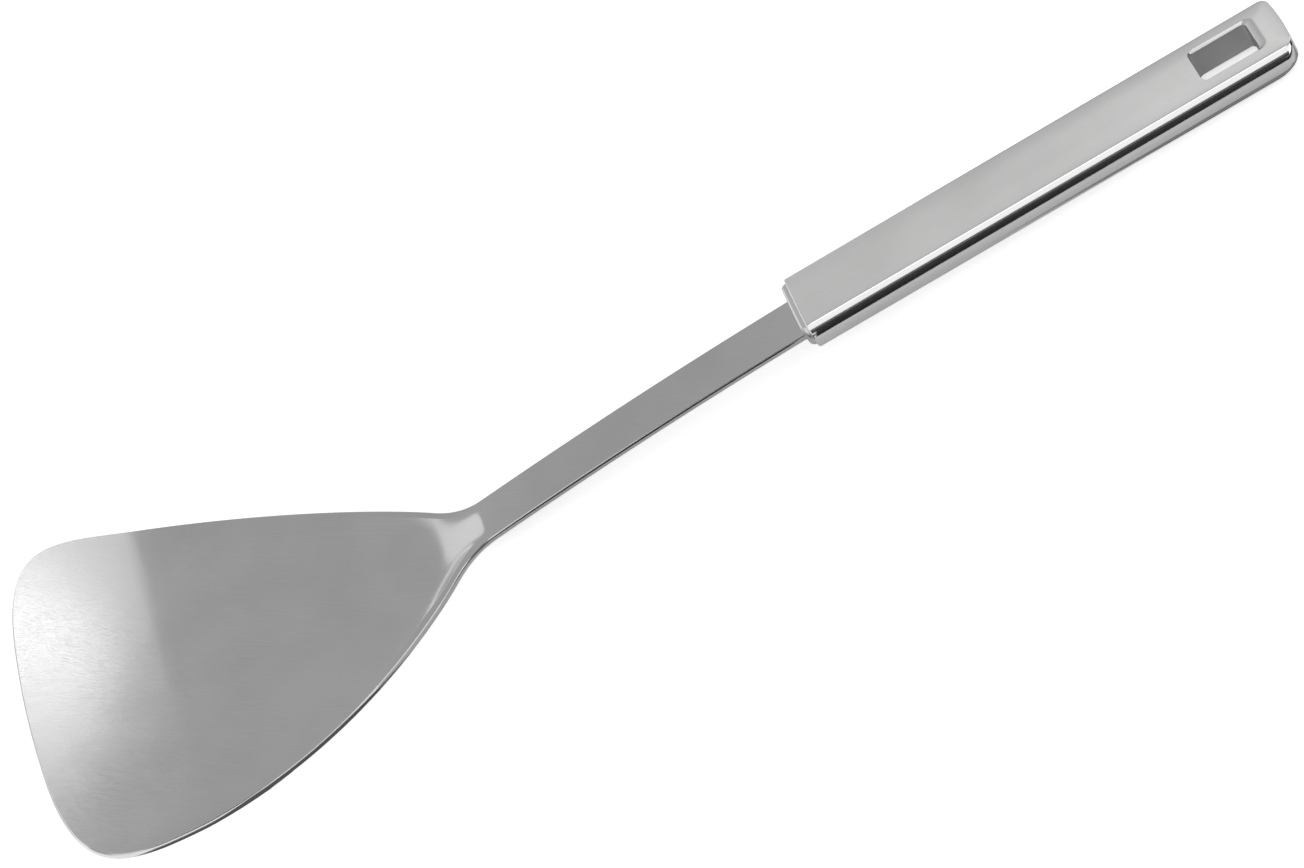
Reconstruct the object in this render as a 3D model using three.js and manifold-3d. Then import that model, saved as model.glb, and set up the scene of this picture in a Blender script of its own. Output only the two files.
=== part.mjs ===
// Wok turner in stainless steel: a pressed blade with its shank, a hollow handle of two welded
// shells, a plug in the handle's front end and a sleeve that lines the hanging slot.
// Everything is drawn in millimetres along the handle: X runs from the handle's front edge to its
// rear end, Z is up from the handle's middle plane. At the end the part is laid on a table top.
import * as THREE from 'three';
import { mergeVertices } from 'three/addons/utils/BufferGeometryUtils.js';
import Module from 'manifold-3d';

const wasm = await Module();
wasm.setup();

const degree = Math.PI / 180;

// Handle
const handleLength = 141.6;
const handleTopWidth = 17.9;
const sideHeight = 9.6;
const sideArcHalfAngle = 46 * degree;
const sideArcSteps = 4;
const crownHeight = 0.5;
const crownRun = 6;
const crownSteps = 2;
const rearCornerRadius = 4.2;
const rearCornerSteps = 6;
const smallestCorner = 0.4;
const rearBulge = 0.7;
const rearMiddlePoints = 4;
const shellWall = 1.0;

// Hanging slot
const slotToRear = 7.4;
const slotLength = 16.5;
const slotWidth = 10.6;
const slotCornerRadius = 1.4;
const slotCornerSteps = 4;
const sleeveWall = 1.0;
const rimRadius = 0.7;
const rearRimExtra = 0.9;
const rimSteps = 3;

// Front plug
const plugProud = 1.7;
const plugDepth = 6;
const plugCornerRadius = 1.6;
const plugCornerSteps = 4;

// Sheet: blade, shank and the tang hidden in the handle
const sheetThickness = 2;
const shankWidth = 13.5;
const shankLength = 99.8;
const shankTop = -0.39;
const shankPitch = Math.tan(1.39 * degree);
const shankSag = 4.1;
const tangLength = 32;
const bladeLength = 130;
const bladeRise = 35.2;
const rimLift = Math.tan(1.94 * degree);
const rimLiftStart = 5.8;
const rimLiftRound = 4.8;
const frontBend = Math.tan(2.9 * degree);
const frontBendStart = 92;
const frontBendRound = 4;
const scoopDepth = 3;
const scoopPower = 2;
const scoopBorder = 2.5;
const heelStart = 1.2;
const heelStartRound = 1.5;
const heelEnd = 12;
const heelEndRound = 8;

// Plan outline of the blade as distance forward of the neck and half width
const flareBend = { forward: 7, half: shankWidth / 2 };
const flareEnd = { forward: 14.2, half: 13 };
const sideNear = { forward: 31.4, half: 26.8 };
const sideFar = { forward: 65.5, half: 48.3 };

// Its front corners as distance back from the front edge and half width
const cornerSwell = 1.7;
const cornerStart = { back: 25, half: 55.2 };
const cornerOuter = { back: 11.8, half: cornerStart.half + cornerSwell };
const cornerInner = { back: 2.5, half: 54.4 };
const cornerEnd = { back: 0.6, half: 18.3 };
const flarePoints = 5;
const sidePoints = 12;
const cornerPoints = 20;
const frontPoints = 5;

// Grid that the sheet is pressed on
const gridStep = 3.4;
const gridMargin = 4;
const slopeStep = 0.05;

// Welds and fits
const tangBead = 1.1;
const tangBeadLength = 1.4;
const seamBeadHeight = 1.6;
const seamBeadDepth = 1.2;
const seatClearance = 0.06;
const slotClearance = 0.12;
const seamGap = 0.04;

// Derived sizes
const handleHalfWidth = handleTopWidth / 2;
const handleHalfHeight = sideHeight / 2;
const sideRadius = handleHalfHeight / Math.sin(sideArcHalfAngle);
const creaseReach = sideRadius * Math.cos(sideArcHalfAngle);
const slotMiddle = handleLength - slotToRear - slotLength / 2;
const neckSlope = shankPitch + (2 * shankSag) / shankLength;
const heelRun = heelEnd - heelStart + (heelEndRound - heelStartRound) / 2;
const wellClear = 3 * handleLength;

function toSolid(geometry) {
  const bare = geometry.clone();
  bare.deleteAttribute('normal');
  bare.deleteAttribute('uv');
  const welded = mergeVertices(bare, 1e-5);
  const mesh = new wasm.Mesh({
    numProp: 3,
    vertProperties: new Float32Array(welded.attributes.position.array),
    triVerts: new Uint32Array(welded.index.array),
  });
  mesh.merge();
  return new wasm.Manifold(mesh);
}

function toGeometry(solid) {
  const mesh = solid.getMesh();
  const geometry = new THREE.BufferGeometry();
  geometry.setAttribute('position', new THREE.BufferAttribute(new Float32Array(mesh.vertProperties), 3));
  geometry.setIndex(new THREE.BufferAttribute(new Uint32Array(mesh.triVerts), 1));
  return geometry;
}

function boxSolid(lowest, highest) {
  const size = new THREE.Vector3().subVectors(highest, lowest);
  const middle = new THREE.Vector3().addVectors(lowest, highest).multiplyScalar(0.5);
  return toSolid(new THREE.BoxGeometry(size.x, size.y, size.z).translate(middle.x, middle.y, middle.z));
}

// A closed body through a stack of level outlines that all have the same number of points.
function loft(levels) {
  const count = levels[0].points.length;
  const positions = levels.flatMap(({ points, z }) => points.flatMap((point) => [point.x, point.y, z]));
  const index = [];
  for (let level = 0; level + 1 < levels.length; level += 1) {
    for (let i = 0; i < count; i += 1) {
      const next = (i + 1) % count;
      const low = level * count;
      const high = low + count;
      index.push(low + i, low + next, high + next, low + i, high + next, high + i);
    }
  }
  const top = (levels.length - 1) * count;
  for (const [a, b, c] of THREE.ShapeUtils.triangulateShape(levels[0].points, [])) {
    index.push(a, c, b);
  }
  for (const [a, b, c] of THREE.ShapeUtils.triangulateShape(levels.at(-1).points, [])) {
    index.push(top + a, top + b, top + c);
  }
  const geometry = new THREE.BufferGeometry();
  geometry.setAttribute('position', new THREE.Float32BufferAttribute(positions, 3));
  geometry.setIndex(index);
  return toSolid(geometry);
}

// Handle seen from above, grown sideways by an offset and cut back behind, where it is rounded and
// slightly bowed. Its front corners are square, or rounded where a radius is given.
function handleOutline(offset, back, front, frontRadius) {
  const half = handleHalfWidth + offset;
  const rear = handleLength - back;
  const radius = Math.max(rearCornerRadius + offset, smallestCorner);
  const frontSteps = frontRadius > 0 ? plugCornerSteps : 0;
  const nearFront = [new THREE.Vector2(front + frontRadius, -half)];
  for (let i = 1; i <= frontSteps; i += 1) {
    const turn = (i / frontSteps) * 90 * degree;
    const x = front + frontRadius * (1 - Math.sin(turn));
    nearFront.unshift(new THREE.Vector2(x, frontRadius * (1 - Math.cos(turn)) - half));
  }
  const points = [...nearFront];
  const rearEdge = [];
  for (let i = 0; i <= rearCornerSteps; i += 1) {
    const turn = (i / rearCornerSteps) * 90 * degree;
    rearEdge.push([rear - radius + radius * Math.sin(turn), -half + radius - radius * Math.cos(turn)]);
  }
  const straight = half - radius;
  for (let i = 1; i < rearMiddlePoints; i += 1) {
    rearEdge.push([rear, straight * ((2 * i) / rearMiddlePoints - 1)]);
  }
  for (let i = rearCornerSteps; i >= 0; i -= 1) {
    rearEdge.push([rearEdge[i][0], -rearEdge[i][1]]);
  }
  for (const [x, y] of rearEdge) {
    points.push(new THREE.Vector2(x + rearBulge * (1 - (y / half) ** 2), y));
  }
  points.push(...nearFront.reverse().map((point) => new THREE.Vector2(point.x, -point.y)));
  return points;
}

// The handle's form shrunk by an inset: crowned top and underside, sides of one round arc and an
// upright rear end.
function handleBody(inset, front, frontRadius) {
  const radius = sideRadius - inset;
  const flat = handleHalfHeight - inset;
  const reach = Math.asin(flat / radius);
  const edge = radius * Math.cos(reach) - creaseReach;
  const profile = [];
  for (let i = 0; i <= sideArcSteps; i += 1) {
    const turn = (i / sideArcSteps) * reach;
    const offset = radius * Math.cos(turn) - creaseReach;
    profile.push({ offset, back: inset, z: radius * Math.sin(turn) });
  }
  for (let i = 1; i <= crownSteps; i += 1) {
    const share = i / crownSteps;
    const inward = crownRun * share;
    const z = flat + crownHeight * (1 - (1 - share) ** 2);
    profile.push({ offset: edge - inward, back: inset + inward, z });
  }
  const lower = profile.slice(1).reverse().map(({ offset, back, z }) => ({ offset, back, z: -z }));
  const level = ({ offset, back, z }) => ({ points: handleOutline(offset, back, front, frontRadius), z });
  return loft([...lower, ...profile].map(level));
}

// Rounded rectangle about the slot's middle, grown by an offset and drawn out at its rear end.
function slotOutline(offset, rearExtra) {
  const halfLength = slotLength / 2 + offset;
  const halfWidth = slotWidth / 2 + offset;
  const radius = slotCornerRadius + offset;
  const points = [];
  for (let corner = 0; corner < 4; corner += 1) {
    const sideX = corner === 0 || corner === 3 ? 1 : -1;
    const sideY = corner < 2 ? 1 : -1;
    for (let i = 0; i <= slotCornerSteps; i += 1) {
      const turn = (corner + i / slotCornerSteps) * 90 * degree;
      const end = sideX > 0 ? halfLength + rearExtra : -halfLength;
      const x = slotMiddle + end - sideX * radius + radius * Math.cos(turn);
      const y = sideY * (halfWidth - radius) + radius * Math.sin(turn);
      points.push(new THREE.Vector2(x, y));
    }
  }
  return points;
}

// The slot's free space: straight walls that round outwards to the rim at both faces, furthest behind.
function slotSpace() {
  const face = handleHalfHeight + crownHeight;
  const upper = [];
  for (let i = 0; i <= rimSteps; i += 1) {
    const turn = (i / rimSteps) * 90 * degree;
    upper.push({ share: 1 - Math.cos(turn), z: face - rimRadius * (1 - Math.sin(turn)) });
  }
  upper.push({ share: 1, z: face + rimRadius });
  const lower = upper.slice().reverse().map(({ share, z }) => ({ share, z: -z }));
  const level = ({ share, z }) => ({ points: slotOutline(rimRadius * share, rearRimExtra * share), z });
  return loft([...lower, ...upper].map(level));
}

function slotPrism(offset) {
  const reach = handleHalfHeight + 2 * crownHeight;
  const points = slotOutline(offset, rearRimExtra);
  return loft([{ points, z: -reach }, { points, z: reach }]);
}

// Half outline of the sheet from the tang to the middle of the blade's front edge.
function sheetHalfOutline() {
  const plan = ({ forward, half }) => new THREE.Vector2(-shankLength - forward, half);
  const fromFront = ({ back, half }) => plan({ forward: bladeLength - back, half });
  const tang = new THREE.Vector2(tangLength, shankWidth / 2);
  const neck = plan({ forward: 0, half: shankWidth / 2 });
  const frontPull = fromFront({ back: 0, half: cornerEnd.half / 2 });
  const frontMiddle = fromFront({ back: 0, half: 0 });
  const flare = new THREE.QuadraticBezierCurve(neck, plan(flareBend), plan(flareEnd));
  const cornerPulls = [cornerStart, cornerOuter, cornerInner, cornerEnd].map(fromFront);
  const side = new THREE.CubicBezierCurve(plan(flareEnd), plan(sideNear), plan(sideFar), cornerPulls[0]);
  const corner = new THREE.CubicBezierCurve(...cornerPulls);
  const front = new THREE.QuadraticBezierCurve(fromFront(cornerEnd), frontPull, frontMiddle);
  return {
    edge: [...flare.getPoints(flarePoints), ...side.getPoints(sidePoints).slice(1)],
    whole: [
      tang,
      ...flare.getPoints(flarePoints),
      ...side.getPoints(sidePoints).slice(1),
      ...corner.getPoints(cornerPoints).slice(1),
      ...front.getPoints(frontPoints).slice(1),
    ],
  };
}

const halfOutline = sheetHalfOutline();

// Half width of the blade between its long edges, carried on straight past the front corners.
function bladeHalfWidth(forward) {
  const edge = halfOutline.edge;
  const x = -shankLength - forward;
  let i = 1;
  while (i < edge.length - 1 && edge[i].x > x) {
    i += 1;
  }
  const share = (edge[i - 1].x - x) / (edge[i - 1].x - edge[i].x);
  return THREE.MathUtils.lerp(edge[i - 1].y, edge[i].y, share);
}

// A straight climb, as high as it is long, whose start is rounded over some length.
function roundedClimb(distance, rounding) {
  const start = THREE.MathUtils.clamp(distance, 0, rounding);
  return start ** 2 / (2 * rounding) + Math.max(distance - rounding, 0);
}

// Upper face of the pressed sheet: its rim curves up, with one bend after the neck and one near the
// front, and the scoop falls below the rim at the heel and keeps its depth to the front edge.
function sheetHeight(x, y) {
  const along = Math.max(-x, 0);
  const tangRise = Math.max(x, 0) * shankPitch;
  if (along <= shankLength) {
    return shankTop + tangRise - shankPitch * along - shankSag * (along / shankLength) ** 2;
  }
  const forward = along - shankLength;
  const neck = shankTop - shankPitch * shankLength - shankSag;
  const lift = rimLift * roundedClimb(forward - rimLiftStart, rimLiftRound);
  const bend = frontBend * roundedClimb(forward - frontBendStart, frontBendRound);
  const curve = bladeRise * (forward / bladeLength) ** 2;
  const rim = neck - neckSlope * forward + lift + curve + bend;
  const heelFall = roundedClimb(forward - heelStart, heelStartRound);
  const heelFoot = roundedClimb(forward - heelEnd, heelEndRound);
  const depth = scoopDepth * ((heelFall - heelFoot) / heelRun);
  const fade = THREE.MathUtils.smoothstep(forward, heelEnd, frontBendStart);
  const scoopHalf = bladeHalfWidth(forward) - scoopBorder * (1 - fade);
  const across = Math.min(Math.abs(y) / scoopHalf, 1);
  return rim - depth * (1 - across ** scoopPower);
}

function sheetDrop(x, y) {
  const alongSlope = (sheetHeight(x + slopeStep, y) - sheetHeight(x - slopeStep, y)) / (2 * slopeStep);
  const acrossSlope = (sheetHeight(x, y + slopeStep) - sheetHeight(x, y - slopeStep)) / (2 * slopeStep);
  return sheetThickness * Math.hypot(1, alongSlope, acrossSlope);
}

// A flat grid pressed to the blade's form, then trimmed to the outline.
function sheetSolid() {
  const right = halfOutline.whole;
  const left = right.slice(0, -1).reverse().map((point) => new THREE.Vector2(point.x, -point.y));
  const outline = new THREE.Shape([...right, ...left]);
  const trim = new THREE.ExtrudeGeometry(outline, { depth: 2 * handleLength, bevelEnabled: false });
  trim.translate(0, 0, -handleLength);

  const lengthOfGrid = tangLength + shankLength + bladeLength + 2 * gridMargin;
  const widthOfGrid = 2 * (cornerOuter.half + gridMargin);
  const columns = Math.round(lengthOfGrid / gridStep);
  const rows = 2 * Math.round(widthOfGrid / gridStep / 2);
  const grid = new THREE.BoxGeometry(lengthOfGrid, widthOfGrid, 1, columns, rows, 1);
  grid.translate(tangLength + gridMargin - lengthOfGrid / 2, 0, 0);
  const position = grid.attributes.position;
  for (let i = 0; i < position.count; i += 1) {
    const x = position.getX(i);
    const y = position.getY(i);
    const drop = position.getZ(i) > 0 ? 0 : sheetDrop(x, y);
    position.setZ(i, sheetHeight(x, y) - drop);
  }
  return toSolid(grid).intersect(toSolid(trim));
}

// A block around the tang at one place along the handle, grown by a margin.
function aroundTang(fromX, toX, margin) {
  const low = Math.min(sheetHeight(fromX, 0), sheetHeight(toX, 0)) - sheetThickness - margin;
  const high = Math.max(sheetHeight(fromX, 0), sheetHeight(toX, 0)) + margin;
  const half = shankWidth / 2 + margin;
  return boxSolid(new THREE.Vector3(fromX, -half, low), new THREE.Vector3(toX, half, high));
}

const outside = handleBody(0, 0, 0);
const cavity = handleBody(shellWall, -wellClear, 0);
const hull = outside.subtract(cavity).subtract(slotPrism(sleeveWall + seatClearance));

function halfSpace(below, above) {
  const far = new THREE.Vector3(wellClear, wellClear, above);
  return boxSolid(new THREE.Vector3(-wellClear, -wellClear, below), far);
}

const upperShell = hull.intersect(halfSpace(seamGap / 2, wellClear));
const lowerShell = hull.intersect(halfSpace(-wellClear, -seamGap / 2));

const sleeve = slotPrism(sleeveWall).intersect(outside).subtract(slotSpace());

const plugReach = boxSolid(
  new THREE.Vector3(-wellClear, -wellClear, -wellClear),
  new THREE.Vector3(plugDepth, wellClear, wellClear),
);
const plug = handleBody(shellWall + seatClearance, -plugProud, plugCornerRadius)
  .intersect(plugReach)
  .subtract(aroundTang(-2 * plugProud, 2 * plugDepth, slotClearance));

const beadStart = plugDepth + seatClearance;
const beadEnd = beadStart + tangBeadLength;
const tangWeld = aroundTang(beadStart, beadEnd, tangBead)
  .subtract(aroundTang(beadStart - plugDepth, beadEnd + plugDepth, slotClearance));

const seamWallOffset = Math.sqrt((sideRadius - shellWall) ** 2 - (seamBeadHeight / 2) ** 2) - creaseReach;

// The inner bead that joins the two shells runs along both sides and round the rear end.
function seamLoop(inward, front, height) {
  const points = handleOutline(seamWallOffset - inward, shellWall + inward, front, 0);
  return loft([{ points, z: -height / 2 }, { points, z: height / 2 }]);
}

const seamWeld = seamLoop(seatClearance, beadStart, seamBeadHeight)
  .subtract(seamLoop(seatClearance + seamBeadDepth, -handleLength, 2 * seamBeadHeight));

const satin = { color: 0x9c9c9b, roughness: 0.38, metalness: 1 };
const pale = { color: 0xb9b9b8, roughness: 0.34, metalness: 1 };
const dull = { color: 0x8b8a88, roughness: 0.5, metalness: 1 };

const pieces = [
  ['blade_and_shank', sheetSolid(), satin],
  ['front_end_plug', plug, satin],
  ['upper_handle_shell', upperShell, pale],
  ['lower_handle_shell', lowerShell, pale],
  ['hanging_slot_sleeve', sleeve, satin],
  ['tang_weld', tangWeld, dull],
  ['handle_seam_weld', seamWeld, dull],
];

const turner = new THREE.Group();
turner.name = 'wok_turner';
for (const [name, solid, look] of pieces) {
  const mesh = new THREE.Mesh(toGeometry(solid), new THREE.MeshStandardMaterial(look));
  mesh.name = name;
  turner.add(mesh);
}

function boxOf(names) {
  const box = new THREE.Box3();
  for (const name of names) {
    const position = turner.getObjectByName(name).geometry.attributes.position;
    box.union(new THREE.Box3().setFromBufferAttribute(position));
  }
  return box;
}

function moveAll(matrix) {
  for (const mesh of turner.children) {
    mesh.geometry.applyMatrix4(matrix);
  }
}

// Lay the part down: tip it until the blade's belly and the handle's rear end are level.
const levellingPasses = 12;
const supportSpan = handleLength + shankLength + heelEnd;
for (let pass = 0; pass < levellingPasses; pass += 1) {
  const belly = boxOf(['blade_and_shank']).min.z;
  const heel = boxOf(['lower_handle_shell']).min.z;
  moveAll(new THREE.Matrix4().makeRotationY(Math.atan2(heel - belly, supportSpan)));
}

const everything = boxOf(turner.children.map((mesh) => mesh.name));
const middle = everything.getCenter(new THREE.Vector3());
moveAll(new THREE.Matrix4().makeTranslation(-middle.x, -middle.y, -everything.min.z));
for (const mesh of turner.children) {
  mesh.geometry.computeVertexNormals();
}

export default turner;
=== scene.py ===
"""Looks of the wok turner: brushed blade, satin and polished handle, plug, slot lining and welds.

Pieces are drawn in millimetres along the handle, as in the part's source: X runs from the handle's
front edge to its rear end and Z is up from the handle's middle plane. The matrix "place" then lays
each one in the row frame, in metres.
"""

import math

import bmesh
import bpy
import numpy as np
from mathutils import Matrix, Vector
from mathutils.geometry import delaunay_2d_cdt


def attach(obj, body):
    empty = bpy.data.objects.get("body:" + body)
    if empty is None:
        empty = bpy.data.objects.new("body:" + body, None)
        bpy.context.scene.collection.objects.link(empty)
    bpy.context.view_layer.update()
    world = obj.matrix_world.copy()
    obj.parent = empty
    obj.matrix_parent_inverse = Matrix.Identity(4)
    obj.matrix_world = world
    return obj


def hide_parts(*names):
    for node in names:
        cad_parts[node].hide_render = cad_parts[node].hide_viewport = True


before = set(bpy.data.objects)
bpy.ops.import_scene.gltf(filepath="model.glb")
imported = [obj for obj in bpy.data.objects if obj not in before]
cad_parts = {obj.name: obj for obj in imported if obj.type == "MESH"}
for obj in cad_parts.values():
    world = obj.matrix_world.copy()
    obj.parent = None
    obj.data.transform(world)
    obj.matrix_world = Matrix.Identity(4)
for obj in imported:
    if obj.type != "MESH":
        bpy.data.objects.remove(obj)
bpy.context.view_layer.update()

# Lie of the handle on the table
REST_TILT = math.radians(1.6833)
HANDLE_FRONT = (43.438, 0, 9.3015)
METRES = 0.001

# Handle
HANDLE_LENGTH = 141.6
HANDLE_HALF = 17.9 / 2
CREASE_HEIGHT = 9.6 / 2
SIDE_ARC = math.radians(46)
SIDE_RADIUS = CREASE_HEIGHT / math.sin(SIDE_ARC)
CREASE_REACH = SIDE_RADIUS * math.cos(SIDE_ARC)
CROWN_HEIGHT = 0.5
CROWN_RUN = 6
UPPER_REAR_CORNER = 2
SEAM_REAR_CORNER = 3.2
LOWER_REAR_CORNER = 7.5
REAR_BULGE = 0.7
SHELL_WALL = 1.0
CREASE_FILLET_TURN = math.radians(2.2)
CREASE_FILLET_RUN = 0.22
FRONT_FILLET = 0.45
FRONT_ROWS = FRONT_FILLET * (1 - np.cos(np.linspace(0, math.pi / 2, 6)))
SEAM_HALF_GAP = 0.01
FACE_COLUMNS = 23

# Hanging slot
SLOT_LENGTH = 16.5
SLOT_WIDTH = 10.6
SLOT_MIDDLE = HANDLE_LENGTH - 7.4 - SLOT_LENGTH / 2
SLOT_CORNER = 1.4
RIM_RUN = 0.7
RIM_DROP = 0.8
RIM_CURVE = 1.3
REAR_RIM_EXTRA = 1.4
FRONT_RIM_LESS = 0.65
LINING_WALL = RIM_RUN + 0.3
LINING_GAP = 0.005
FACE_MARGIN = 0.4

# Front plug
PLUG_PROUD = 1.7
PLUG_DEPTH = 6
PLUG_INSET = SHELL_WALL + 0.06
PLUG_CORNER = 1.8
PLUG_EDGE = 0.8
TANG_CLEARANCE = 0.12

# Sheet
SHEET_THICKNESS = 2
SHANK_HALF = 13.5 / 2
SHANK_LENGTH = 99.8
SHANK_TOP = -0.39
SHANK_PITCH = math.tan(math.radians(1.39))
SHANK_SAG = 4.1
TANG_LENGTH = 32
BLADE_LENGTH = 130
BLADE_RISE = 35.2
RIM_LIFT = math.tan(math.radians(1.94))
RIM_LIFT_START = 5.8
RIM_LIFT_ROUND = 4.8
FRONT_BEND = math.tan(math.radians(2.9))
FRONT_BEND_START = 92
FRONT_BEND_ROUND = 4
SCOOP_DEPTH = 3
SCOOP_POWER = 2
SCOOP_BORDER = 2.5
HEEL_START = 1.2
HEEL_START_ROUND = 1.5
HEEL_END = 12
HEEL_END_ROUND = 8
CORNER_START = (BLADE_LENGTH - 25, 55.2)
CORNER_END = (BLADE_LENGTH - 0.6, 18.3)
FLARE = [(0, SHANK_HALF), (7, SHANK_HALF), (14.2, 13)]
SIDE = [FLARE[-1], (31.4, 26.8), (65.5, 48.3), CORNER_START]
CORNER = [CORNER_START, (BLADE_LENGTH - 11.8, 56.9), (BLADE_LENGTH - 2.5, 54.4), CORNER_END]
FRONT = [CORNER_END, (BLADE_LENGTH, CORNER_END[1] / 2), (BLADE_LENGTH, 0)]

# Cut edge of the sheet: a small corner, then a slight belly
EDGE_CORNER = 0.06
EDGE_BELLY = math.radians(26)
EDGE_HALF = SHEET_THICKNESS / 2 - EDGE_CORNER * (1 - math.sin(EDGE_BELLY))
EDGE_BELLY_RADIUS = EDGE_HALF / math.sin(EDGE_BELLY)
EDGE_REACH = EDGE_CORNER * math.cos(EDGE_BELLY) + EDGE_BELLY_RADIUS * (1 - math.cos(EDGE_BELLY))

# Direction of the brush lines on the sheet, from the handle's axis
BRUSH_TURN = math.radians(-33)

# Studio: strengths of light, heights in metres and greys of the cards
ROOM_LIGHT = 0.5
PAPER_GLOW = 0.62
PAPER_DROP = 0.0004
CARD_LIFT = 0.0004
SHEET_LIFT = 0.0002
CARD_GREYS = {
    "black": 0.012,
    "coal": 0.06,
    "slate": 0.2,
    "dusk": 0.4,
    "stone": 0.8,
    "chalk": 0.87,
}


class Wire:
    """A socket that takes part in sums and products, each of which adds a Math node."""

    def __init__(self, bench, socket):
        self.bench = bench
        self.socket = socket

    def math(self, operation, *terms):
        sockets = dict(enumerate(terms))
        return self.bench.node("ShaderNodeMath", {"operation": operation}, sockets)

    def __add__(self, other):
        return self.math("ADD", self, other)

    def __radd__(self, other):
        return self.math("ADD", other, self)

    def __sub__(self, other):
        return self.math("SUBTRACT", self, other)

    def __rsub__(self, other):
        return self.math("SUBTRACT", other, self)

    def __mul__(self, other):
        return self.math("MULTIPLY", self, other)

    def __rmul__(self, other):
        return self.math("MULTIPLY", other, self)

    def __truediv__(self, other):
        return self.math("DIVIDE", self, other)

    def __pow__(self, other):
        return self.math("POWER", self, other)

    def __neg__(self):
        return self.math("MULTIPLY", self, -1)

    def __abs__(self):
        return self.math("ABSOLUTE", self)

    def above(self, floor):
        return self.math("MAXIMUM", self, floor)

    def below(self, ceiling):
        return self.math("MINIMUM", self, ceiling)

    def smoothstep(self, low, high):
        settings = {"interpolation_type": "SMOOTHSTEP"}
        sockets = {"Value": self, "From Min": low, "From Max": high}
        return self.bench.node("ShaderNodeMapRange", settings, sockets)


class Bench:
    """A node tree under construction."""

    def __init__(self, tree):
        self.tree = tree
        self.tree.nodes.clear()

    def node(self, kind, settings=None, sockets=None, out=0):
        made = self.tree.nodes.new(kind)
        for name, value in (settings or {}).items():
            setattr(made, name, value)
        for name, value in (sockets or {}).items():
            self.put(self.socket(made.inputs, name), value)
        return Wire(self, self.socket(made.outputs, out))

    def socket(self, sockets, name):
        if isinstance(name, int):
            return [s for s in sockets if s.enabled][name]
        return next(s for s in sockets if s.enabled and name in (s.name, s.identifier))

    def put(self, socket, value):
        if isinstance(value, Wire):
            self.tree.links.new(value.socket, socket)
        else:
            socket.default_value = value

    def outputs_of(self, wire):
        node = wire.socket.node
        return {s.name: Wire(self, s) for s in node.outputs}


# Meshes

place = (
    Matrix.Scale(METRES, 4)
    @ Matrix.Translation(HANDLE_FRONT)
    @ Matrix.Rotation(REST_TILT, 4, "Y")
)


def new_object(name, vertices, faces, materials, face_materials=None):
    mesh = bpy.data.meshes.new(name)
    mesh.from_pydata([tuple(v) for v in vertices], [], [tuple(f) for f in faces])
    for material in materials:
        mesh.materials.append(material)
    if face_materials is not None:
        mesh.polygons.foreach_set("material_index", face_materials)
    piece = bpy.data.objects.new(name, mesh)
    bpy.context.scene.collection.objects.link(piece)
    return piece


def apply_modifiers(piece):
    bpy.context.view_layer.update()
    seen = piece.evaluated_get(bpy.context.evaluated_depsgraph_get())
    mesh = bpy.data.meshes.new_from_object(seen)
    piece.modifiers.clear()
    piece.data = mesh


def settle(piece, sharp_angle):
    """Turns the piece and its modifiers into a plain smooth mesh that lies in the row frame."""
    apply_modifiers(piece)
    mesh = piece.data
    mesh.name = piece.name
    mesh.transform(place)
    mesh.polygons.foreach_set("use_smooth", [True] * len(mesh.polygons))
    mesh.set_sharp_from_angle(angle=sharp_angle)
    mesh.update()


def carry(piece, node):
    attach(piece, "root")
    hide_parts(node)


def bezier(points, count):
    share = np.linspace(0, 1, count)[:, None]
    levels = [np.array(point, float) for point in points]
    while len(levels) > 1:
        levels = [(1 - share) * a + share * b for a, b in zip(levels, levels[1:])]
    return levels[0]


def rings_to_faces(rings, closed_ring, closed_stack=False):
    """Quads between rows of vertex numbers of the same length."""
    faces = []
    stack = list(zip(rings, rings[1:]))
    if closed_stack:
        stack.append((rings[-1], rings[0]))
    for low, high in stack:
        count = len(low)
        for i in range(count if closed_ring else count - 1):
            j = (i + 1) % count
            faces.append((low[i], low[j], high[j], high[i]))
    return faces


# Sheet: a flat blank with rounded edges, pressed to the blade's form


def blade_edge():
    """Long edge of the blade from neck to front corner, as forward distance and half width."""
    return np.vstack([bezier(FLARE, 30), bezier(SIDE, 110)[1:]])


def sheet_outline():
    """Right-hand outline from the tang's end to near the middle of the front edge."""
    tang = [(x, SHANK_HALF) for x in np.linspace(TANG_LENGTH, 0, 9)]
    shank = [(x, SHANK_HALF) for x in np.linspace(0, -SHANK_LENGTH, 40)[1:]]
    blade = np.vstack([blade_edge()[1:], bezier(CORNER, 60)[1:], bezier(FRONT, 24)[1:-1]])
    blade[:, 0] = -SHANK_LENGTH - blade[:, 0]
    return np.vstack([tang, shank, blade])


def outward(points):
    run = np.gradient(points, axis=0)
    sideways = np.stack([run[:, 1], -run[:, 0]], 1)
    return sideways / np.linalg.norm(sideways, axis=1)[:, None]


def edge_profile(corner_steps=3, belly_steps=4):
    """Reach and height of the points down the sheet's cut edge."""
    upper = []
    for turn in np.linspace(math.pi / 2, EDGE_BELLY, corner_steps + 1)[1:]:
        upper.append((EDGE_CORNER * math.cos(turn), EDGE_CORNER * (math.sin(turn) - 1)))
    middle = EDGE_REACH - EDGE_BELLY_RADIUS
    for turn in np.linspace(EDGE_BELLY, 0, belly_steps + 1)[1:]:
        reach = middle + EDGE_BELLY_RADIUS * math.cos(turn)
        upper.append((reach, EDGE_BELLY_RADIUS * math.sin(turn) - SHEET_THICKNESS / 2))
    return upper + [(reach, -SHEET_THICKNESS - height) for reach, height in reversed(upper[:-1])]


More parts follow.
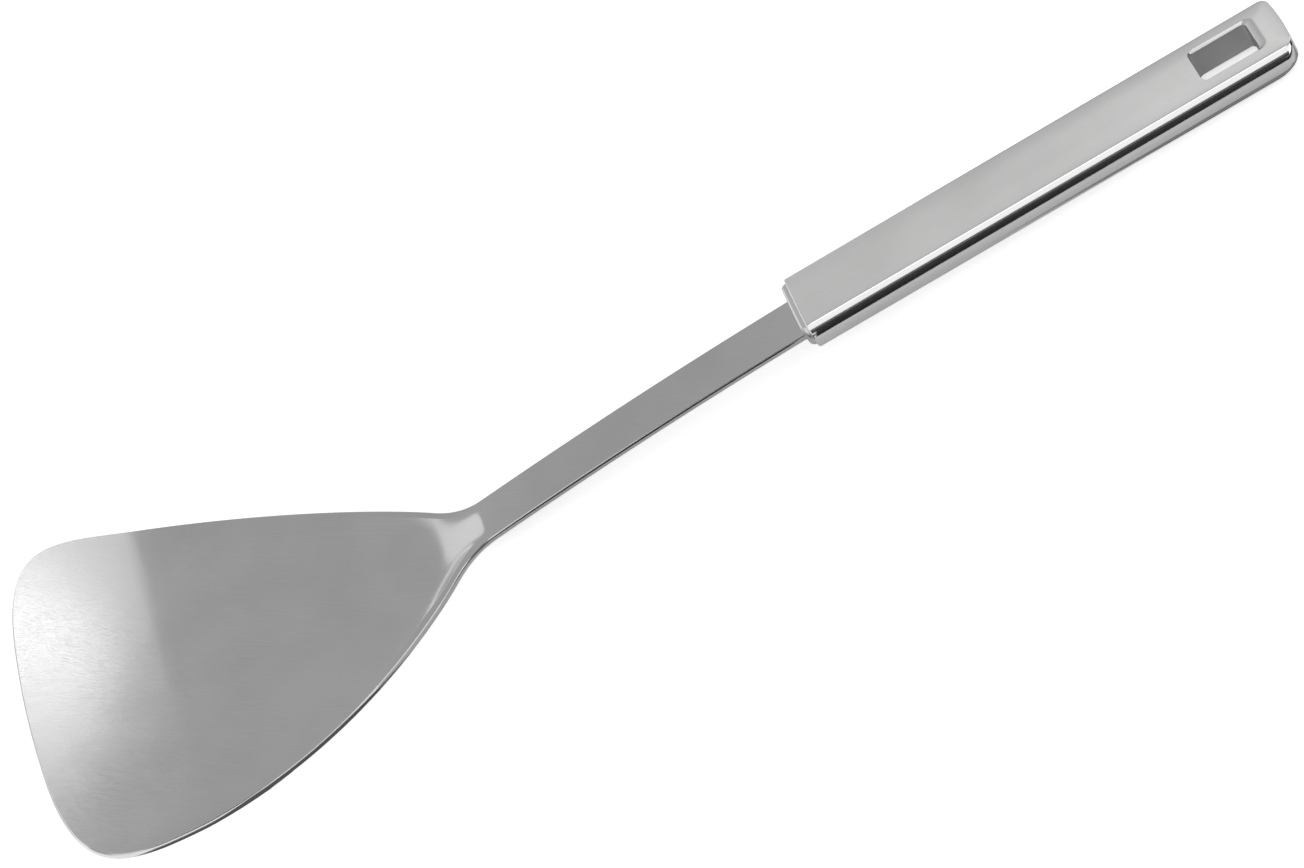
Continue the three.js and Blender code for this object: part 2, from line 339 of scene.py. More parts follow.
def sheet_blank(columns=81):
    """Flat plate whose upper face lies at height 0 and its lower face one thickness below."""
    outline = sheet_outline()
    away = outward(outline)
    inner = outline - EDGE_REACH * away
    inner[0, 0] = TANG_LENGTH - EDGE_REACH
    away[0] = (1, 1)
    across = np.sin(np.linspace(-math.pi / 2, math.pi / 2, columns))
    rows = len(inner)
    plan = np.stack(
        [np.repeat(inner[:, :1], columns, 1), inner[:, 1:] * across[None, :]], 2
    ).reshape(-1, 2)
    number = np.arange(rows * columns).reshape(rows, columns)
    right = number[:, -1]
    left = number[::-1, 0]
    tip = number[-1, -2:0:-1]
    tail = number[0, 1:-1]
    loop = np.concatenate([right, tip, left, tail])
    loop_away = np.vstack([
        away,
        np.tile((-1, 0), (len(tip), 1)),
        away[::-1] * (1, -1),
        np.tile((1, 0), (len(tail), 1)),
    ])
    vertices = [np.column_stack([plan, np.zeros(len(plan))])]
    vertices.append(np.column_stack([plan, np.full(len(plan), -SHEET_THICKNESS)]))
    below = len(plan)
    rings = [list(loop)]
    start = 2 * len(plan)
    for reach, height in edge_profile():
        ring = plan[loop] + reach * loop_away
        vertices.append(np.column_stack([ring, np.full(len(ring), height)]))
        rings.append(list(range(start, start + len(ring))))
        start += len(ring)
    rings.append(list(loop + below))
    faces = rings_to_faces(number.tolist(), closed_ring=False)
    faces += [tuple(below + i for i in reversed(face)) for face in faces]
    faces += [face[::-1] for face in rings_to_faces(rings, closed_ring=True)]
    return np.vstack(vertices), faces


def add_blade_widths(mesh, points):
    """Stores how wide the blade is at each vertex and how fast that grows towards the front."""
    edge = blade_edge()
    forward = np.maximum(-points[:, 0] - SHANK_LENGTH, 0)
    growth = np.gradient(edge[:, 1], edge[:, 0])
    half = np.interp(forward, edge[:, 0], edge[:, 1])
    half += growth[-1] * np.maximum(forward - edge[-1, 0], 0)
    slope = np.interp(forward, edge[:, 0], growth)
    for name, values in (("blade_half", half), ("blade_growth", slope)):
        mesh.attributes.new(name, "FLOAT", "POINT").data.foreach_set("value", values)


PRESS_SIZES = {
    "Thickness": SHEET_THICKNESS,
    "Shank top": SHANK_TOP,
    "Shank pitch": SHANK_PITCH,
    "Shank length": SHANK_LENGTH,
    "Shank sag": SHANK_SAG,
    "Blade length": BLADE_LENGTH,
    "Blade rise": BLADE_RISE,
    "Rim lift": RIM_LIFT,
    "Rim lift start": RIM_LIFT_START,
    "Rim lift rounding": RIM_LIFT_ROUND,
    "Front bend": FRONT_BEND,
    "Front bend start": FRONT_BEND_START,
    "Front bend rounding": FRONT_BEND_ROUND,
    "Scoop depth": SCOOP_DEPTH,
    "Scoop power": SCOOP_POWER,
    "Scoop border": SCOOP_BORDER,
    "Heel start": HEEL_START,
    "Heel start rounding": HEEL_START_ROUND,
    "Heel end": HEEL_END,
    "Heel end rounding": HEEL_END_ROUND,
}


def climb(distance, rounding):
    """A straight climb, as high as it is long, whose start is rounded."""
    start = distance.above(0).below(rounding)
    return start * start / (2 * rounding) + (distance - rounding).above(0)


def press_tree():
    """Lifts a flat blank to the blade's height at each place and keeps its thickness square to it."""
    tree = bpy.data.node_groups.new("press_blade", "GeometryNodeTree")
    tree.interface.new_socket("Blank", in_out="INPUT", socket_type="NodeSocketGeometry")
    for name, value in PRESS_SIZES.items():
        socket = tree.interface.new_socket(name, in_out="INPUT", socket_type="NodeSocketFloat")
        socket.default_value = value
    tree.interface.new_socket("Steel", in_out="INPUT", socket_type="NodeSocketMaterial")
    tree.interface.new_socket("Blade", in_out="OUTPUT", socket_type="NodeSocketGeometry")
    bench = Bench(tree)
    size = bench.outputs_of(bench.node("NodeGroupInput"))
    spot = bench.node("GeometryNodeInputPosition")
    spot = bench.outputs_of(bench.node("ShaderNodeSeparateXYZ", sockets={"Vector": spot}))
    float_field = {"data_type": "FLOAT"}
    half = bench.node("GeometryNodeInputNamedAttribute", float_field, {"Name": "blade_half"})
    growth = bench.node("GeometryNodeInputNamedAttribute", float_field, {"Name": "blade_growth"})

    heel_rounding = size["Heel end rounding"] - size["Heel start rounding"]
    heel_run = size["Heel end"] - size["Heel start"] + heel_rounding / 2
    neck_slope = size["Shank pitch"] + 2 * size["Shank sag"] / size["Shank length"]

    def height(x, y, half_here):
        along = (-x).above(0)
        on_shank = along.below(size["Shank length"])
        sag = size["Shank sag"] * (on_shank / size["Shank length"]) ** 2
        base = size["Shank top"] + size["Shank pitch"] * (x.above(0) - on_shank) - sag
        forward = (along - size["Shank length"]).above(0)
        lift = size["Rim lift"] * climb(forward - size["Rim lift start"], size["Rim lift rounding"])
        front = climb(forward - size["Front bend start"], size["Front bend rounding"])
        curve = size["Blade rise"] * (forward / size["Blade length"]) ** 2
        rim = base - neck_slope * forward + lift + curve + size["Front bend"] * front
        fall = climb(forward - size["Heel start"], size["Heel start rounding"])
        foot = climb(forward - size["Heel end"], size["Heel end rounding"])
        depth = size["Scoop depth"] * (fall - foot) / heel_run
        fade = forward.smoothstep(size["Heel end"], size["Front bend start"])
        scoop_half = half_here - size["Scoop border"] * (1 - fade)
        across = (abs(y) / scoop_half).below(1)
        return rim - depth * (1 - across ** size["Scoop power"])

    step = 0.05
    x, y = spot["X"], spot["Y"]
    here = height(x, y, half)
    along_slope = (height(x + step, y, half - step * growth) - here) / step
    across_slope = (height(x, y + step, half) - here) / step
    down = spot["Z"] / (1 + along_slope ** 2 + across_slope ** 2) ** 0.5
    pressed = bench.node("ShaderNodeCombineXYZ", sockets={
        "X": x - down * along_slope,
        "Y": y - down * across_slope,
        "Z": here + down,
    })
    moved = {"Geometry": size["Blank"], "Position": pressed}
    blade = bench.node("GeometryNodeSetPosition", sockets=moved)
    blade = bench.node("GeometryNodeRealizeInstances", sockets={"Geometry": blade})
    steel = {"Geometry": blade, "Material": size["Steel"]}
    blade = bench.node("GeometryNodeSetMaterial", sockets=steel)
    output = tree.nodes.new("NodeGroupOutput")
    bench.put(output.inputs["Blade"], blade)
    return tree


def make_blade(steel):
    vertices, faces = sheet_blank()
    piece = new_object("pressed_blade_and_shank", vertices, faces, [steel])
    add_blade_widths(piece.data, vertices)
    press = piece.modifiers.new("press", "NODES")
    press.node_group = press_tree()
    values = dict(PRESS_SIZES, Steel=steel)
    for item in press.node_group.interface.items_tree:
        if item.in_out == "INPUT" and item.name in values:
            press[item.identifier] = values[item.name]
    settle(piece, sharp_angle=math.radians(60))
    carry(piece, "blade_and_shank")


# Handle shells


def crown(inward):
    share = np.clip(np.asarray(inward) / CROWN_RUN, 0, 1)
    return CROWN_HEIGHT * (1 - (1 - share) ** 2)


def rear_corner(height):
    """Radius of the rear corners seen from above, at a height over the handle's middle plane."""
    heights = (-CREASE_HEIGHT, 0, CREASE_HEIGHT)
    radii = (LOWER_REAR_CORNER, SEAM_REAR_CORNER, UPPER_REAR_CORNER)
    return float(np.interp(height, heights, radii))


def inward_distance(x, y, corner):
    """Distance of a point on a handle's face from the crease round its sides and rear end."""
    x = x - REAR_BULGE * (1 - (y / HANDLE_HALF) ** 2)
    past_x = x - (HANDLE_LENGTH - corner)
    past_y = np.abs(y) - (HANDLE_HALF - corner)
    straight = np.minimum(HANDLE_LENGTH - x, HANDLE_HALF - np.abs(y))
    round_corner = corner - np.hypot(past_x, past_y)
    return np.where((past_x > 0) & (past_y > 0), round_corner, straight)


def face_height(x, y, corner=UPPER_REAR_CORNER):
    return CREASE_HEIGHT + crown(inward_distance(x, y, corner))


def handle_outline(offset, corner, straight_points=60, corner_points=14, rear_points=9):
    """Handle from above, grown by an offset, from its near front corner round the rear end."""
    half = HANDLE_HALF + offset
    rear = HANDLE_LENGTH + min(offset, 0)
    radius = corner + min(offset, 0)
    run = np.linspace(FRONT_ROWS[-1], rear - radius, straight_points)[1:-1]
    near = [(x, -half) for x in (*FRONT_ROWS, *run)]
    turn = np.linspace(0, math.pi / 2, corner_points)
    round_x = rear - radius + radius * np.sin(turn)
    round_y = -half + radius - radius * np.cos(turn)
    near += list(zip(round_x, round_y))
    middle = [(rear, y) for y in np.linspace(radius - half, half - radius, rear_points)[1:-1]]
    far = [(x, -y) for x, y in reversed(near)]
    points = np.array(near + middle + far)
    bulge = REAR_BULGE * (1 - (points[:, 1] / half) ** 2)
    points[:, 0] += np.where(points[:, 0] > rear - radius, bulge, 0)
    return points


def slot_outline(offset, rear_extra, front_less, corner_points=9):
    """Rounded rectangle about the slot, grown by an offset, and by more behind and less in front."""
    half_width = SLOT_WIDTH / 2 + offset
    radius = SLOT_CORNER + offset
    points = []
    for corner, (side_x, side_y) in enumerate(((1, 1), (-1, 1), (-1, -1), (1, -1))):
        end = SLOT_LENGTH / 2 + offset + (rear_extra if side_x > 0 else -front_less)
        for turn in (corner + np.linspace(0, 1, corner_points)) * math.pi / 2:
            x = SLOT_MIDDLE + side_x * (end - radius) + radius * math.cos(turn)
            y = side_y * (half_width - radius) + radius * math.sin(turn)
            points.append((x, y))
    return np.array(points)


def side_profile(arc_steps=20, fillet_steps=4):
    """Offsets and heights from the seam up the round side and over the crease's small fillet."""
    seam_turn = math.asin(SEAM_HALF_GAP / SIDE_RADIUS)
    turns = np.linspace(seam_turn, SIDE_ARC - CREASE_FILLET_TURN, arc_steps)
    arc = np.stack([SIDE_RADIUS * np.cos(turns) - CREASE_REACH, SIDE_RADIUS * np.sin(turns)], 1)
    landing = (-CREASE_FILLET_RUN, CREASE_HEIGHT + crown(CREASE_FILLET_RUN))
    fillet = bezier([arc[-1], (0, CREASE_HEIGHT), landing], fillet_steps + 1)
    return np.vstack([arc, fillet[1:]])


def face_points(corner, step=1.1):
    """Points inside the satin face, away from its outline and from the slot."""
    rows = np.concatenate([FRONT_ROWS[1:], np.arange(1, HANDLE_LENGTH, step)])
    half = HANDLE_HALF - CREASE_FILLET_RUN
    columns = np.linspace(-half, half, FACE_COLUMNS)[1:-1]
    x, y = [grid.ravel() for grid in np.meshgrid(rows, columns)]
    inside = inward_distance(x, y, corner) > 2 * CREASE_FILLET_RUN
    margin = LINING_WALL + FACE_MARGIN
    clear_x = np.abs(x - SLOT_MIDDLE) > SLOT_LENGTH / 2 + margin + REAR_RIM_EXTRA
    clear_y = np.abs(y) > SLOT_WIDTH / 2 + margin
    keep = inside & (clear_x | clear_y)
    return np.stack([x[keep], y[keep]], 1)


def in_slot(x, y):
    """Whether a point of the top lies inside the cut for the lining, with the cut's round corners."""
    radius = SLOT_CORNER + LINING_WALL
    half_length = (SLOT_LENGTH + REAR_RIM_EXTRA - FRONT_RIM_LESS) / 2 + LINING_WALL
    middle = SLOT_MIDDLE + (REAR_RIM_EXTRA + FRONT_RIM_LESS) / 2
    past_x = abs(x - middle) - half_length + radius
    past_y = abs(y) - SLOT_WIDTH / 2 - LINING_WALL + radius
    return math.hypot(max(past_x, 0), max(past_y, 0)) < radius


def shell_skin(side):
    """Outer skin of the upper (1) or lower (-1) shell, drawn upwards: vertices, side and top faces."""
    corner = rear_corner(side * CREASE_HEIGHT)
    vertices = []
    rings = []
    for offset, height in side_profile():
        ring = handle_outline(offset, rear_corner(side * height))
        rings.append(list(range(len(vertices), len(vertices) + len(ring))))
        vertices += [(x, y, height) for x, y in ring]
    sides = rings_to_faces(rings, closed_ring=False)
    rim = np.array([vertices[i][:2] for i in rings[-1]])
    half = HANDLE_HALF - CREASE_FILLET_RUN
    front = np.array([(0, y) for y in np.linspace(half, -half, FACE_COLUMNS)[1:-1]])
    cut = slot_outline(LINING_WALL + LINING_GAP, REAR_RIM_EXTRA, FRONT_RIM_LESS)
    flat = np.vstack([rim, front, cut, face_points(corner)])
    border = len(rim) + len(front)
    edges = [(i, (i + 1) % border) for i in range(border)]
    edges += [(border + i, border + (i + 1) % len(cut)) for i in range(len(cut))]
    all_triangles, tolerance = 0, 1e-6
    found = delaunay_2d_cdt([Vector(p) for p in flat], edges, [], all_triangles, tolerance)
    spots, triangles = found[0], found[2]
    number = []
    for spot, origins in zip(spots, found[3]):
        if origins and origins[0] < len(rim):
            number.append(rings[-1][origins[0]])
        else:
            number.append(len(vertices))
            vertices.append((spot.x, spot.y, float(face_height(spot.x, spot.y, corner))))
    top = []
    for triangle in triangles:
        middle = sum((spots[i] for i in triangle), Vector((0, 0))) / 3
        if not in_slot(middle.x, middle.y):
            top.append(tuple(number[i] for i in triangle))
    return vertices, sides, top


def round_front_edge(piece):
    """Draws the skin's front edge inwards along its normals, by the fillet's own curve."""
    work = bmesh.new()
    work.from_mesh(piece.data)
    work.normal_update()
    for vertex in work.verts:
        x = vertex.co.x
        if x < FRONT_FILLET:
            drop = FRONT_FILLET - math.sqrt(FRONT_FILLET ** 2 - (FRONT_FILLET - x) ** 2)
            normal = Vector((0, vertex.normal.y, vertex.normal.z)).normalized()
            vertex.co -= drop * normal
    work.to_mesh(piece.data)
    work.free()


def make_shell(name, node, satin, polished, upper):
    vertices, sides, top = shell_skin(1 if upper else -1)
    faces = sides + top
    if not upper:
        vertices = [(x, y, -z) for x, y, z in vertices]
        faces = [face[::-1] for face in faces]
    face_materials = [1] * len(sides) + [0] * len(top)
    piece = new_object(name, vertices, faces, [satin, polished], face_materials)
    round_front_edge(piece)
    wall = piece.modifiers.new("wall", "SOLIDIFY")
    wall.thickness = SHELL_WALL
    wall.offset = -1
    wall.use_even_offset = True
    settle(piece, sharp_angle=math.radians(40))
    carry(piece, node)


# Slot lining


def make_slot_lining(wall, satin, rim_steps=6):
    """A lining flush with the handle's faces: satin border, rim that slopes in, and walls."""
    levels = [(LINING_WALL, 1, None), (LINING_WALL, 1, 0)]
    for share in np.linspace(1, 0, rim_steps + 1):
        levels.append((RIM_RUN * share, share, RIM_DROP * (1 - share) ** RIM_CURVE))
    levels += [(0, 0, 2 * RIM_DROP), (0, 0, None)]
    upper = []
    for offset, share, depth in levels:
        ring = slot_outline(offset, REAR_RIM_EXTRA * share, FRONT_RIM_LESS * share)
        if depth is None:
            height = np.zeros(len(ring))
        else:
            height = face_height(ring[:, 0], ring[:, 1]) - depth
        upper.append(np.column_stack([ring, height]))
    lower = [ring * (1, 1, -1) for ring in upper[-2:0:-1]]
    rings = upper + lower
    count = len(rings[0])
    numbers = [list(range(i * count, (i + 1) * count)) for i in range(len(rings))]
    faces = rings_to_faces(numbers, closed_ring=True, closed_stack=True)
    # Finish of each strip, from mid-height outside over the border and rim to mid-height inside
    finish = [0, 1] + [0] * (rim_steps + 2)
    face_materials = np.repeat(finish + finish[::-1], count)
    piece = new_object("slot_lining", np.vstack(rings), faces, [wall, satin], face_materials)
    settle(piece, sharp_angle=math.radians(30))
    carry(piece, "hanging_slot_sleeve")


# Front plug


def plug_section(arc_steps=12, face_steps=16):
    """Section of the plug inside the shells, as points round it from the far lower crease."""
    radius = SIDE_RADIUS - PLUG_INSET
    flat = CREASE_HEIGHT - PLUG_INSET
    turns = np.linspace(-1, 1, arc_steps) * math.asin(flat / radius)
    middle = HANDLE_HALF - CREASE_REACH
    side = [(middle + radius * math.cos(turn), radius * math.sin(turn)) for turn in turns]
    edge = side[-1][0]
    across = np.linspace(edge, -edge, face_steps)[1:-1]
    upper = side + [(y, flat + float(crown(edge - abs(y)))) for y in across]
    return np.array(upper + [(-y, -z) for y, z in upper])


def fillet_shrink(distance, radius):
    short = max(radius - distance, 0)
    return radius - math.sqrt(radius ** 2 - short ** 2)


def make_plug(steel):
    section = plug_section()
    half, tall = section.max(0)
    steps = PLUG_CORNER * (1 - np.cos(np.linspace(0, math.pi / 2, 12)))
    rings = []
    for distance in (*steps, PLUG_PROUD + PLUG_DEPTH):
        narrow = 1 - fillet_shrink(distance, PLUG_CORNER) / half
        low = 1 - fillet_shrink(distance, PLUG_EDGE) / tall
        ring = section * (narrow, low)
        rings.append(np.column_stack([np.full(len(ring), distance - PLUG_PROUD), ring]))
    count = len(section)
    numbers = [list(range(i * count, (i + 1) * count)) for i in range(len(rings))]
    faces = [face[::-1] for face in rings_to_faces(numbers, closed_ring=True)]
    faces += [tuple(numbers[0]), tuple(reversed(numbers[-1]))]
    piece = new_object("end_plug", np.vstack(rings), faces, [steel])
    cut_tang_slot(piece)
    settle(piece, sharp_angle=math.radians(35))
    carry(piece, "front_end_plug")


def cut_tang_slot(piece):
    half = SHANK_HALF + TANG_CLEARANCE
    high = SHANK_TOP + SHANK_PITCH * PLUG_DEPTH + TANG_CLEARANCE
    low = SHANK_TOP - SHANK_PITCH * PLUG_PROUD - SHEET_THICKNESS - TANG_CLEARANCE
    work = bmesh.new()
    bmesh.ops.create_cube(work, size=1)
    reach = 4 * PLUG_DEPTH
    size = Matrix.Diagonal((reach, 2 * half, high - low, 1))
    middle = Matrix.Translation((0, 0, (high + low) / 2))
    bmesh.ops.transform(work, matrix=middle @ size, verts=work.verts)
    mesh = bpy.data.meshes.new("tang_slot")
    work.to_mesh(mesh)
    work.free()
    cutter = bpy.data.objects.new("tang_slot", mesh)
    bpy.context.scene.collection.objects.link(cutter)
    cut = piece.modifiers.new("tang_slot", "BOOLEAN")
    cut.operation = "DIFFERENCE"
    cut.solver = "EXACT"
    cut.object = cutter
    apply_modifiers(piece)
    bpy.data.objects.remove(cutter)


# Materials


def new_material(name):
    material = bpy.data.materials.new(name)
    material.use_nodes = True
    bench = Bench(material.node_tree)
    shader = material.node_tree.nodes.new("ShaderNodeBsdfPrincipled")
    output = material.node_tree.nodes.new("ShaderNodeOutputMaterial")
    material.node_tree.links.new(shader.outputs["BSDF"], output.inputs["Surface"])
    shader.inputs["Metallic"].default_value = 1
    return material, bench, shader


def object_place(bench):
    coordinates = bench.node("ShaderNodeTexCoord", out="Object")
    return bench.outputs_of(bench.node("ShaderNodeSeparateXYZ", sockets={"Vector": coordinates}))


def noise(bench, x, y, z):
    """Noise at a place that is given in cells."""
    spot = bench.node("ShaderNodeCombineXYZ", sockets={"X": x, "Y": y, "Z": z})
    sockets = {"Vector": spot, "Scale": 1.0, "Detail": 2.0, "Roughness": 0.5}
    return bench.node("ShaderNodeTexNoise", {"noise_dimensions": "3D"}, sockets)


def even_noise(bench, spot, rate):
    """Noise with the same number of cells per metre in all directions."""
    return noise(bench, spot["X"] * rate, spot["Y"] * rate, spot["Z"] * rate)


def mix_colours(bench, factor, first, second):
    sockets = {"Factor_Float": factor, "A_Color": first, "B_Color": second}
    return bench.node("ShaderNodeMix", {"data_type": "RGBA"}, sockets, out="Result_Color")


def grey_between(bench, factor, dark, light):
    return mix_colours(bench, factor, (*dark, 1), (*light, 1))


def bump(bench, height, distance):
    sockets = {"Height": height, "Distance": distance, "Strength": 1.0}
    return bench.node("ShaderNodeBump", sockets=sockets, out="Normal")


def brushed_steel(name, turn, dark, light, roughness, spread, line_depth):
    """Satin steel with fine lines that run along the turn, and soft broad mottling."""
    material, bench, shader = new_material(name)
    spot = object_place(bench)
    along = math.cos(turn) * spot["X"] + math.sin(turn) * spot["Y"]
    aside = math.cos(turn) * spot["Y"] - math.sin(turn) * spot["X"]
    fine = noise(bench, along * 90, aside * 9000, spot["Z"] * 900)
    wide = noise(bench, along * 25, aside * 1500, spot["Z"] * 300)
    cloud = even_noise(bench, spot, 40)
    streak = 0.8 * fine + 0.2 * wide
    tone = (0.4 * streak + 0.6 * cloud).smoothstep(0.3, 0.7)
    gloss = roughness + spread * (streak - 0.5) + 0.08 * (cloud - 0.5)
    bench.put(shader.inputs["Base Color"], grey_between(bench, tone, dark, light))
    bench.put(shader.inputs["Roughness"], gloss)
    bench.put(shader.inputs["Normal"], bump(bench, streak, line_depth))
    return material


def polished_steel(name):
    """Mirror polish with faint wiping marks."""
    material, bench, shader = new_material(name)
    spot = object_place(bench)
    wipe = noise(bench, spot["X"] * 60, spot["Y"] * 500, spot["Z"] * 500)
    cloud = even_noise(bench, spot, 90)
    tint = grey_between(bench, cloud, (0.84, 0.84, 0.84), (0.9, 0.9, 0.895))
    bench.put(shader.inputs["Base Color"], tint)
    bench.put(shader.inputs["Roughness"], 0.08 + 0.05 * wipe.smoothstep(0.35, 0.8))
    bench.put(shader.inputs["Normal"], bump(bench, wipe, 0.000001))
    return material


def weld_steel(name):
    """Raw bead with heat colours."""
    material, bench, shader = new_material(name)
    spot = object_place(bench)
    ripple = even_noise(bench, spot, 700)
    heat = even_noise(bench, spot, 160)
    grey, straw, blue = (0.52, 0.5, 0.47, 1), (0.6, 0.5, 0.33, 1), (0.3, 0.33, 0.45, 1)
    warm = mix_colours(bench, heat.smoothstep(0.35, 0.6), grey, straw)
    hot = mix_colours(bench, heat.smoothstep(0.55, 0.75), warm, blue)
    bench.put(shader.inputs["Base Color"], hot)
    bench.put(shader.inputs["Roughness"], 0.35 + 0.25 * ripple)
    bench.put(shader.inputs["Normal"], bump(bench, ripple, 0.0001))
    return material


def studio_paper():
    """White paper that camera and steel see brighter than its own light, with its shadow kept."""
    material, bench, shader = new_material("studio_paper")
    shader.inputs["Metallic"].default_value = 0
    shader.inputs["Roughness"].default_value = 0.9
    shader.inputs["Specular IOR Level"].default_value = 0
    spot = object_place(bench)
    grain = even_noise(bench, spot, 400)
    tint = grey_between(bench, grain, (0.86, 0.86, 0.86), (0.88, 0.88, 0.88))
    bench.put(shader.inputs["Base Color"], tint)
    ray = bench.outputs_of(bench.node("ShaderNodeLightPath"))
    seen = ray["Is Camera Ray"].above(ray["Is Glossy Ray"]).above(ray["Is Transmission Ray"])
    glow = seen * PAPER_GLOW
    glow = bench.node("ShaderNodeCombineXYZ", sockets={"X": glow, "Y": glow, "Z": glow})
    bench.put(shader.inputs["Emission Color"], glow)
    shader.inputs["Emission Strength"].default_value = 1
    return material


def card_paper(name, grey):
    material, _, shader = new_material(name)
    shader.inputs["Metallic"].default_value = 0
    shader.inputs["Roughness"].default_value = 0.8
    shader.inputs["Specular IOR Level"].default_value = 0.1
    shader.inputs["Base Color"].default_value = (grey, grey, grey, 1)
    return material


# Studio


def flat_panel(name, corners, material):
    panel = new_object(name, corners, [range(len(corners))], [material])
    return panel


def make_backdrop():
    """White paper on the floor and in a ring that stands on it, as high as a level view needs."""
    paper = studio_paper()
    reach, high, sides = 6.0, 0.85, 64
    corners = [(-reach, -reach), (reach, -reach), (reach, reach), (-reach, reach)]
    flat_panel("floor", [(x, y, -PAPER_DROP) for x, y in corners], paper)
    turns = np.linspace(0, 2 * math.pi, sides, endpoint=False)
    ring = [(reach * math.cos(turn), reach * math.sin(turn)) for turn in turns]
    vertices = [(x, y, z) for z in (high, -PAPER_DROP) for x, y in ring]
    rings = [range(sides), range(sides, 2 * sides)]
    faces = rings_to_faces(rings, closed_ring=True)
    new_object("backdrop", vertices, faces, [paper])


def level_card(*corners, lift=CARD_LIFT):
    return [(x, y, lift) for x, y in corners]


def level_box_card(low_x, low_y, high_x, high_y, lift=CARD_LIFT):
    corners = (low_x, low_y), (high_x, low_y), (high_x, high_y), (low_x, high_y)
    return level_card(*corners, lift=lift)


def standing_card(start, end, low, high):
    return [(*start, low), (*end, low), (*end, high), (*start, high)]


def make_cards():
    """Cards that only the steel sees.

    They give the dark and grey lines along the handle's sides and the edges of shank and blade. The
    cards beside and under the handle and by the blade's near edge are painted shade: they lie where
    the floor is in the turner's shadow, so the steel reflects a darker floor there. Two chalk sheets
    keep the bright floor out of the polished sides, and a shade bends the edge of the right softbox.
    """
    near, behind, reach = -0.031, 0.216, 0.62
    shank, neck = 0.036, -0.06
    near_ends = (-0.12, -reach), (0.36, -reach)
    rear_ends = (reach, -0.25), (reach, 0.03)
    far_ends = (0.06, reach), (0.36, reach)
    stand, stand_top = 0.1, 0.2
    shade_distance = 0.745
    shade = (0.05, 0.79), (0.155, 0.79), (0.195, 0.95), (0.125, 1.08), (0.12, 1.4), (0.05, 1.4)
    cards = [
        ("near_card", "black", level_card(
            (-0.05, -reach), (behind, -reach), (behind, near), (0.04, near))),
        ("shank_card", "black", level_card(
            (shank, -0.019), (neck, -0.0135), (neck, -0.0305), (shank, -0.069))),
        ("heel_card", "chalk", level_card(
            (neck, -0.0072), (-0.1, -0.031), (-0.086, -0.05), (neck, -0.028))),
        ("rear_card", "black", level_box_card(behind, -0.25, reach, 0.03)),
        ("far_card", "black", level_box_card(0.06, -near, reach, reach)),
        # painted shade: grey card where the floor beside the handle lies in its shadow, seen only by
        # the steel
        ("handle_side_shade_card", "stone", level_box_card(shank, near, behind, -0.012)),
        # painted shade: darker card where the floor under the handle's rear lies in its shadow, seen
        # only by the steel
        ("handle_rear_shade_card", "dusk", level_card(
            (0.09, -0.0121), (behind, -0.0121), (behind, -0.0055), (0.09, -0.012))),
        ("near_stand", "coal", standing_card(*near_ends, 0, stand)),
        ("near_stand_top", "slate", standing_card(*near_ends, stand, stand_top)),
        ("rear_stand", "coal", standing_card(*rear_ends, 0, stand)),
        ("rear_stand_top", "slate", standing_card(*rear_ends, stand, stand_top)),
        ("far_stand", "black", standing_card(*far_ends, 0, stand)),
        ("softbox_shade", "stone", [(x, shade_distance, z) for x, z in shade]),
        # painted shade: dark card where the floor by the blade's near edge lies in its shadow, seen
        # only by the steel
        ("blade_edge_shade_card", "slate", level_card(
            (-0.088, -0.0235), (-0.185, -0.066), (-0.165, -0.108), (-0.105, -0.062))),
        ("handle_sheet", "chalk", level_box_card(neck, -reach, reach, reach, SHEET_LIFT)),
        ("blade_sheet", "chalk", level_box_card(-reach, 0, neck, reach, SHEET_LIFT)),
    ]
    papers = {name: card_paper(name + "_card", grey) for name, grey in CARD_GREYS.items()}
    for name, paper, corners in cards:
        card = flat_panel(name, corners, papers[paper])
        card.visible_camera = False
        card.visible_diffuse = False
        card.visible_shadow = False


def softbox(name, middle, aim, width, height, radiance, shape="RECTANGLE"):
    lamp = bpy.data.lights.new(name, "AREA")
    lamp.shape = shape
    lamp.size = width
    lamp.size_y = height
    lamp.energy = radiance * math.pi * width * height
    light = bpy.data.objects.new(name, lamp)
    bpy.context.scene.collection.objects.link(light)
    light.location = middle
    light.rotation_euler = (Vector(aim) - Vector(middle)).to_track_quat("-Z", "Y").to_euler()


def make_lamps():
    """Softboxes that give the bright patches in the blade and the bands in the handle's sides."""
    softbox("right_softbox", (0.67, 0.75, 1.42), aim=(0.67, 0, 1.42),
            width=1.07, height=1.14, radiance=0.5)
    softbox("right_softbox_core", (0.32, 0.74, 0.835), aim=(0.32, 0, 0.835),
            width=0.24, height=0.18, radiance=1.3, shape="ELLIPSE")
    softbox("left_softbox", (-1.02, 0.53, 0.36), aim=(-0.065, 0, 0),
            width=1.55, height=1.67, radiance=0.36, shape="ELLIPSE")
    softbox("side_softbox", (1.05, -1.15, 0.3), aim=(-0.1, -0.04, 0),
            width=1.0, height=0.7, radiance=0.8)
    softbox("high_softbox", (0.15, -0.95, 1.2), aim=(0.15, 0, 0),
            width=0.7, height=0.4, radiance=1.0)
    softbox("front_softbox", (-0.2, -1.5, 0.95), aim=(0, 0, 0),
            width=2.4, height=1.3, radiance=0.5)


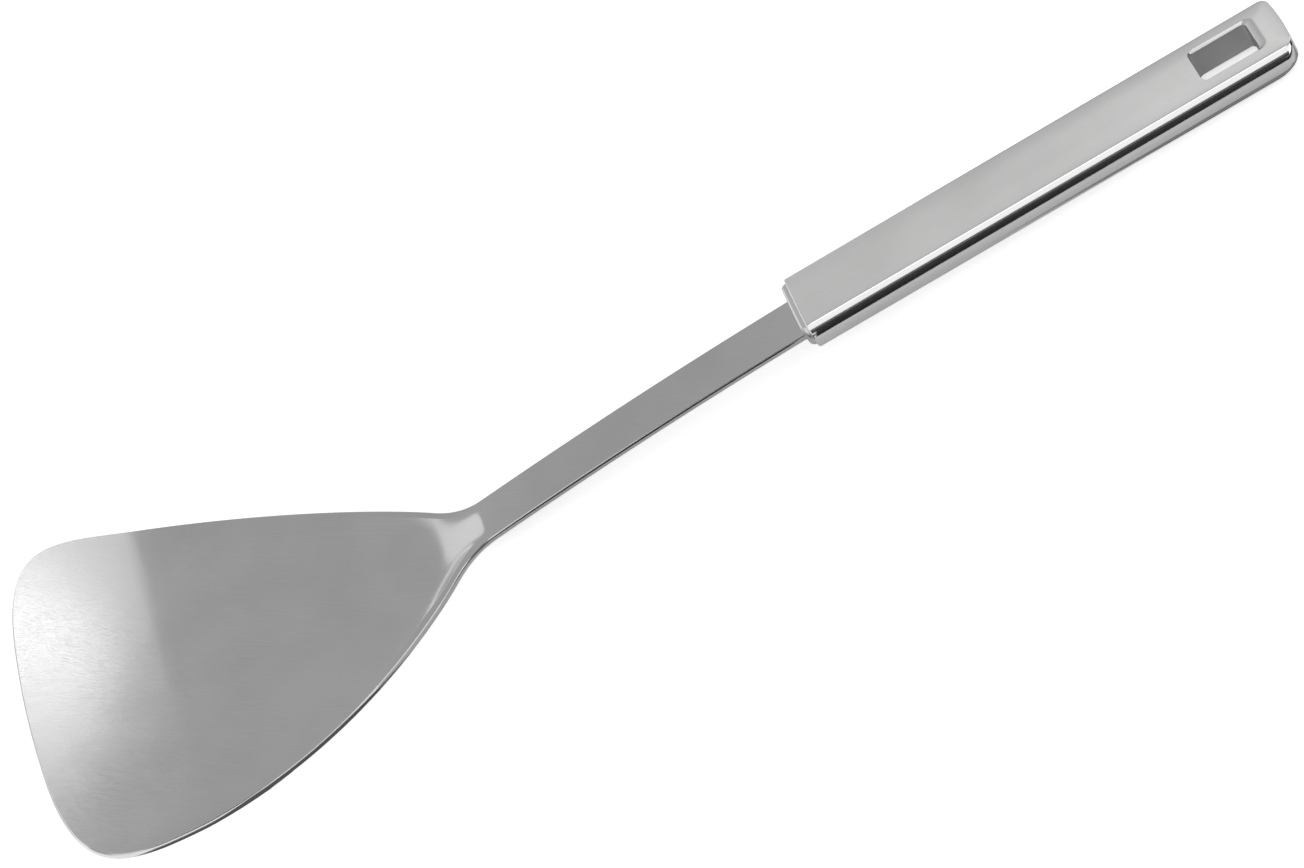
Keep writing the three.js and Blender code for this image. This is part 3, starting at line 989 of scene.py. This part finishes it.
def make_world():
    world = bpy.data.worlds.new("studio")
    bpy.context.scene.world = world
    world.use_nodes = True
    bench = Bench(world.node_tree)
    white = {"Color": (1, 1, 1, 1), "Strength": ROOM_LIGHT}
    room = bench.node("ShaderNodeBackground", sockets=white)
    output = world.node_tree.nodes.new("ShaderNodeOutputWorld")
    bench.put(output.inputs["Surface"], room)


def make_camera():
    """The photo's camera, worked out from the turner's outline in it."""
    data = bpy.data.cameras.new("camera")
    data.lens = 97.073
    data.sensor_width = 36
    camera = bpy.data.objects.new("camera", data)
    bpy.context.scene.collection.objects.link(camera)
    right = Vector((0.84229, -0.29028, -0.4542))
    up = Vector((0.51411, 0.68584, 0.51508))
    view = Vector((-0.16199, 0.66735, -0.72691))
    turn = Matrix((right, up, -view)).transposed().to_4x4()
    stand = Matrix.Translation((0.14212, -0.61718, 0.67197))
    camera.matrix_world = stand @ turn
    bpy.context.scene.camera = camera


def make_turner():
    blade = brushed_steel(
        "brushed_blade_steel", BRUSH_TURN, dark=(0.57, 0.57, 0.57), light=(0.64, 0.64, 0.64),
        roughness=0.15, spread=0.05, line_depth=0.00001)
    satin = brushed_steel(
        "satin_handle_steel", 0, dark=(0.755, 0.755, 0.75), light=(0.835, 0.835, 0.83),
        roughness=0.4, spread=0.06, line_depth=0.0000012)
    lining = brushed_steel(
        "slot_lining_steel", 0, dark=(0.7, 0.7, 0.7), light=(0.8, 0.8, 0.8),
        roughness=0.32, spread=0.08, line_depth=0.0000015)
    plug = brushed_steel(
        "plug_steel", math.pi / 2, dark=(0.66, 0.66, 0.66), light=(0.76, 0.76, 0.76),
        roughness=0.3, spread=0.08, line_depth=0.0000015)
    polished = polished_steel("polished_side_steel")
    weld = weld_steel("weld_bead_steel")
    make_blade(blade)
    make_shell("upper_shell", "upper_handle_shell", satin, polished, upper=True)
    make_shell("lower_shell", "lower_handle_shell", satin, polished, upper=False)
    make_slot_lining(lining, satin)
    make_plug(plug)
    for node in ("tang_weld", "handle_seam_weld"):
        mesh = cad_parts[node].data
        mesh.materials.clear()
        mesh.materials.append(weld)


make_turner()
make_backdrop()
make_cards()
make_lamps()
make_world()
make_camera()
bpy.context.scene.view_settings.view_transform = "Standard"
